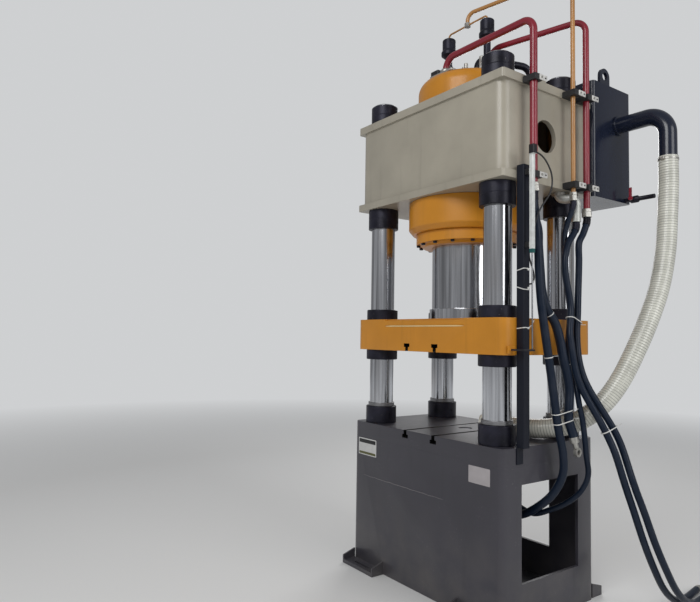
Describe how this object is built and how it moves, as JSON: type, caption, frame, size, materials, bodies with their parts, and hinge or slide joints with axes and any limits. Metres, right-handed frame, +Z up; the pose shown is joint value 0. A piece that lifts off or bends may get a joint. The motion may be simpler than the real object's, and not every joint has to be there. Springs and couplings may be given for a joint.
{
  "type": "hydraulic press",
  "caption": "Column-guided hydraulic press: hollow bed with slotted table, moving slide, crown with main cylinder, rear oil tank, pipes and hanging hoses.",
  "frame": {"origin": "on the floor under the middle of the bed", "axes": "+X to the right along the front, +Y from the front to the rear tank, +Z up"},
  "size_m": [1.7348, 1.5969, 3.6929],
  "materials": {
    "bed_paint": "semi-gloss dark blue-grey enamel",
    "crown_paint": "semi-gloss warm grey enamel",
    "orange_paint": "semi-gloss orange-yellow enamel",
    "black_steel": "blackened steel",
    "chrome": "hard chrome",
    "tank_paint": "glossy navy enamel",
    "red_paint": "glossy crimson enamel",
    "ochre_paint": "semi-gloss ochre enamel",
    "zinc_plate": "zinc plate",
    "pale_alloy": "pale anodised",
    "black_polymer": "matt black",
    "hose_rubber": "smooth black rubber",
    "clear_hose": "milky wire-reinforced plastic"
  },
  "bodies": {
    "frame": {"bed": "bed_paint", "table": "bed_paint", "sensor_post": "bed_paint", "crown": "crown_paint", "main_cylinder": "orange_paint", "cylinder_gland": "orange_paint", "ejector_cylinder": "black_steel", "drain_valve": "black_steel", "left_filling_valve": "black_steel", "right_filling_valve": "black_steel", "filling_pipe": "black_steel", "oil_tank": "tank_paint", "tank_outlet_pipe": "tank_paint", "front_red_pipe": "red_paint", "rear_red_pipe": "red_paint", "pilot_pipe": "ochre_paint", "pipe_foot_block": "zinc_plate", "loose_hose_fitting": "zinc_plate", "elbow_hose_fitting": "zinc_plate", "rear_hose_fitting": "zinc_plate", "vent_tube": "pale_alloy", "transducer": "pale_alloy", "crown_elbow": "pale_alloy", "upper_front_clamp": "black_polymer", "lower_front_clamp": "black_polymer", "upper_rear_clamp": "black_polymer", "lower_rear_clamp": "black_polymer", "front_hose": "hose_rubber", "loose_hose": "hose_rubber", "elbow_hose": "hose_rubber", "rear_hose": "hose_rubber", "pilot_hose": "hose_rubber", "sensor_cable": "hose_rubber", "suction_hose": "clear_hose", "front_left_column": "chrome", "front_left_table_nut": "black_steel", "front_left_crown_nut": "black_steel", "front_left_top_nut": "black_steel", "front_right_column": "chrome", "front_right_table_nut": "black_steel", "front_right_crown_nut": "black_steel", "front_right_top_nut": "black_steel", "rear_left_column": "chrome", "rear_left_table_nut": "black_steel", "rear_left_crown_nut": "black_steel", "rear_left_top_nut": "black_steel", "rear_right_column": "chrome", "rear_right_table_nut": "black_steel", "rear_right_crown_nut": "black_steel", "rear_right_top_nut": "black_steel"},
    "slide": {"slide": "orange_paint", "piston_rod": "chrome", "sensor_arm": "orange_paint", "transducer_rod": "chrome", "front_left_bush": "black_steel", "front_right_bush": "black_steel", "rear_left_bush": "black_steel", "rear_right_bush": "black_steel"},
    "ejector": {"ejector_rod": "chrome"},
    "drain_lever": {"drain_lever": "red_paint"}
  },
  "joints": [
    {"name": "slide_stroke", "type": "slide", "parent": "frame", "child": "slide", "axis": [0, 0, 1], "range_m": [-0.27, 0.3]},
    {"name": "ejector_lift", "type": "slide", "parent": "frame", "child": "ejector", "axis": [0, 0, 1], "range_m": [0, 0.15]},
    {"name": "drain_lever_turn", "type": "hinge", "parent": "frame", "child": "drain_lever", "pos_m": [0.7103, 0.7372, 2.418], "axis": [0, 1, 0], "range_deg": [0, 90]}
  ]
}
